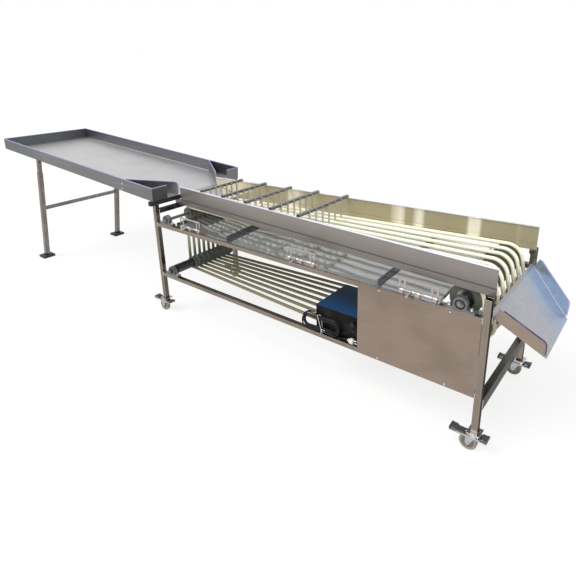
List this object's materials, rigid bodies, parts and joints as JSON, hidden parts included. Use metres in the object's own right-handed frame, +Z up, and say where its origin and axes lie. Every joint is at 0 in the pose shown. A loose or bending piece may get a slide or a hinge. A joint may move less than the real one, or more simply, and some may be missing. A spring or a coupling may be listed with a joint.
{
  "type": "fruit grading machine",
  "caption": "Rope-type fruit grader on braked casters: tilted feed tray, diverging ropes over a steel frame, outlet trays with folding gates and an end chute.",
  "frame": {"origin": "middle of the whole machine in plan, on the floor", "axes": "+X from the feed tray to the end chute, +Y from the outlet side to the far side, +Z up"},
  "size_m": [4.5526, 0.823, 1.0648],
  "materials": {
    "stainless": "brushed stainless sheet and tube",
    "dark_steel": "dull dark steel",
    "zinc": "bright zinc",
    "black_plastic": "black plastic",
    "red_plastic": "red rocker",
    "blue_edging": "slit edge protection strip",
    "dark_nylon": "grey-green nylon",
    "cast_housing": "painted bearing housing",
    "rope": "cream polyurethane round belting",
    "black_enamel": "black enamel",
    "blue_enamel": "gloss navy enamel",
    "brass": "plain brass",
    "cable": "black cable sheath",
    "white_plastic": "white plastic",
    "belt_rubber": "black V-belt",
    "wheel_rubber": "beige wheel tread"
  },
  "bodies": {
    "frame": {"frame_legs": "stainless", "upper_rails": "stainless", "lower_rails": "stainless", "cross_ties": "stainless", "bed_rails": "dark_steel", "feed_crossbar": "dark_steel", "crossbar_caps": "black_plastic", "bed_walls": "stainless", "lane_guides": "stainless", "screw_heads": "zinc", "feed_tray": "stainless", "edge_trim": "blue_edging", "stand_inner_tubes": "stainless", "pillow_blocks": "cast_housing", "block_bolts": "zinc", "rope_runs": "rope", "rope_turns": "rope", "collecting_trays": "stainless", "gate_hinges": "zinc", "side_panel": "stainless", "end_chute": "stainless", "control_box": "black_enamel", "control_cover": "blue_enamel", "cable_gland": "brass", "cord_lead": "cable", "cord_hank": "cable", "cord_tie": "white_plastic", "mains_plug": "white_plastic", "gearmotor": "blue_enamel", "drive_belt": "belt_rubber", "equipment_shelf": "stainless", "caster_plates": "zinc"},
    "drive_drum": {"drive_shaft": "dark_steel", "drive_sheaves": "dark_nylon", "drum_pulley": "dark_steel"},
    "infeed_pulleys": {"infeed_roller": "dark_steel", "infeed_sheaves": "dark_nylon"},
    "return_pulleys": {"return_roller": "dark_steel", "return_sheaves": "dark_nylon"},
    "snub": {"snub_roller": "dark_steel"},
    "guide": {"guide_roller": "dark_steel"},
    "motor_drive": {"motor_pulley": "dark_steel"},
    "gate_1": {"outlet_gate_1": "stainless"},
    "gate_2": {"outlet_gate_2": "stainless"},
    "gate_3": {"outlet_gate_3": "stainless"},
    "knob": {"speed_knob": "black_plastic"},
    "switch": {"power_switch": "red_plastic"},
    "stand": {"stand_frame": "stainless"},
    "swivel_nl": {"caster_fork_nl": "zinc"},
    "wheel_nl": {"caster_wheel_nl": "wheel_rubber"},
    "pedal_nl": {"brake_pedal_nl": "black_enamel"},
    "swivel_nr": {"caster_fork_nr": "zinc"},
    "wheel_nr": {"caster_wheel_nr": "wheel_rubber"},
    "pedal_nr": {"brake_pedal_nr": "black_enamel"},
    "swivel_fl": {"caster_fork_fl": "zinc"},
    "wheel_fl": {"caster_wheel_fl": "wheel_rubber"},
    "pedal_fl": {"brake_pedal_fl": "black_enamel"},
    "swivel_fr": {"caster_fork_fr": "zinc"},
    "wheel_fr": {"caster_wheel_fr": "wheel_rubber"},
    "pedal_fr": {"brake_pedal_fr": "black_enamel"}
  },
  "joints": [
    {"name": "drum_spin", "type": "hinge", "parent": "frame", "child": "drive_drum", "pos_m": [1.93435, 0, 0.7003], "axis": [0, 1, 0], "continuous": true},
    {"name": "infeed_spin", "type": "hinge", "parent": "frame", "child": "infeed_pulleys", "pos_m": [-0.03465, 0, 0.7003], "axis": [0, 1, 0], "continuous": true},
    {"name": "return_spin", "type": "hinge", "parent": "frame", "child": "return_pulleys", "pos_m": [-0.03465, 0, 0.3383], "axis": [0, 1, 0], "continuous": true},
    {"name": "snub_spin", "type": "hinge", "parent": "frame", "child": "snub", "pos_m": [1.99805, 0, 0.55], "axis": [0, 1, 0], "continuous": true},
    {"name": "guide_spin", "type": "hinge", "parent": "frame", "child": "guide", "pos_m": [1.86635, 0, 0.3383], "axis": [0, 1, 0], "continuous": true},
    {"name": "motor_spin", "type": "hinge", "parent": "frame", "child": "motor_drive", "pos_m": [1.74635, 0, 0.373], "axis": [0, 1, 0], "continuous": true},
    {"name": "gate_1_fold", "type": "hinge", "parent": "frame", "child": "gate_1", "pos_m": [0.19435, -0.3415, 0.685], "axis": [-1, 0, 0], "range_deg": [0, 85]},
    {"name": "gate_2_fold", "type": "hinge", "parent": "frame", "child": "gate_2", "pos_m": [1.08035, -0.3415, 0.685], "axis": [-1, 0, 0], "range_deg": [0, 85]},
    {"name": "gate_3_fold", "type": "hinge", "parent": "frame", "child": "gate_3", "pos_m": [1.74135, -0.3415, 0.685], "axis": [-1, 0, 0], "range_deg": [0, 85]},
    {"name": "speed_turn", "type": "hinge", "parent": "frame", "child": "knob", "pos_m": [1.39935, -0.3275, 0.411], "axis": [0, -1, 0], "range_deg": [0, 270]},
    {"name": "switch_rock", "type": "hinge", "parent": "frame", "child": "switch", "pos_m": [1.39935, -0.3225, 0.369], "axis": [1, 0, 0], "range_deg": [-10, 10]},
    {"name": "stand_slide", "type": "slide", "parent": "frame", "child": "stand", "axis": [0.2164, 0, 0.9763], "range_m": [-0.04, 0.08]},
    {"name": "swivel_nl_turn", "type": "hinge", "parent": "frame", "child": "swivel_nl", "pos_m": [-0.14565, -0.3425, 0.09], "axis": [0, 0, 1], "continuous": true},
    {"name": "wheel_nl_spin", "type": "hinge", "parent": "swivel_nl", "child": "wheel_nl", "pos_m": [-0.16965, -0.3425, 0.04], "axis": [0, 1, 0], "continuous": true},
    {"name": "pedal_nl_rock", "type": "hinge", "parent": "swivel_nl", "child": "pedal_nl", "pos_m": [-0.16965, -0.3425, 0.078], "axis": [0, 1, 0], "range_deg": [-7, 7]},
    {"name": "swivel_nr_turn", "type": "hinge", "parent": "frame", "child": "swivel_nr", "pos_m": [2.04635, -0.3425, 0.09], "axis": [0, 0, 1], "continuous": true},
    {"name": "wheel_nr_spin", "type": "hinge", "parent": "swivel_nr", "child": "wheel_nr", "pos_m": [2.02235, -0.3425, 0.04], "axis": [0, 1, 0], "continuous": true},
    {"name": "pedal_nr_rock", "type": "hinge", "parent": "swivel_nr", "child": "pedal_nr", "pos_m": [2.02235, -0.3425, 0.078], "axis": [0, 1, 0], "range_deg": [-7, 7]},
    {"name": "swivel_fl_turn", "type": "hinge", "parent": "frame", "child": "swivel_fl", "pos_m": [-0.14565, 0.3425, 0.09], "axis": [0, 0, 1], "continuous": true},
    {"name": "wheel_fl_spin", "type": "hinge", "parent": "swivel_fl", "child": "wheel_fl", "pos_m": [-0.16965, 0.3425, 0.04], "axis": [0, 1, 0], "continuous": true},
    {"name": "pedal_fl_rock", "type": "hinge", "parent": "swivel_fl", "child": "pedal_fl", "pos_m": [-0.16965, 0.3425, 0.078], "axis": [0, 1, 0], "range_deg": [-7, 7]},
    {"name": "swivel_fr_turn", "type": "hinge", "parent": "frame", "child": "swivel_fr", "pos_m": [2.04635, 0.3425, 0.09], "axis": [0, 0, 1], "continuous": true},
    {"name": "wheel_fr_spin", "type": "hinge", "parent": "swivel_fr", "child": "wheel_fr", "pos_m": [2.02235, 0.3425, 0.04], "axis": [0, 1, 0], "continuous": true},
    {"name": "pedal_fr_rock", "type": "hinge", "parent": "swivel_fr", "child": "pedal_fr", "pos_m": [2.02235, 0.3425, 0.078], "axis": [0, 1, 0], "range_deg": [-7, 7]}
  ],
  "couplings": [
    {"joint": "infeed_spin", "follows": "drum_spin", "ratio": 1.7143},
    {"joint": "return_spin", "follows": "drum_spin", "ratio": 1.5652},
    {"joint": "snub_spin", "follows": "drum_spin", "ratio": 1.7143},
    {"joint": "guide_spin", "follows": "drum_spin", "ratio": 1.5652},
    {"joint": "motor_spin", "follows": "drum_spin", "ratio": 1.7097}
  ]
}
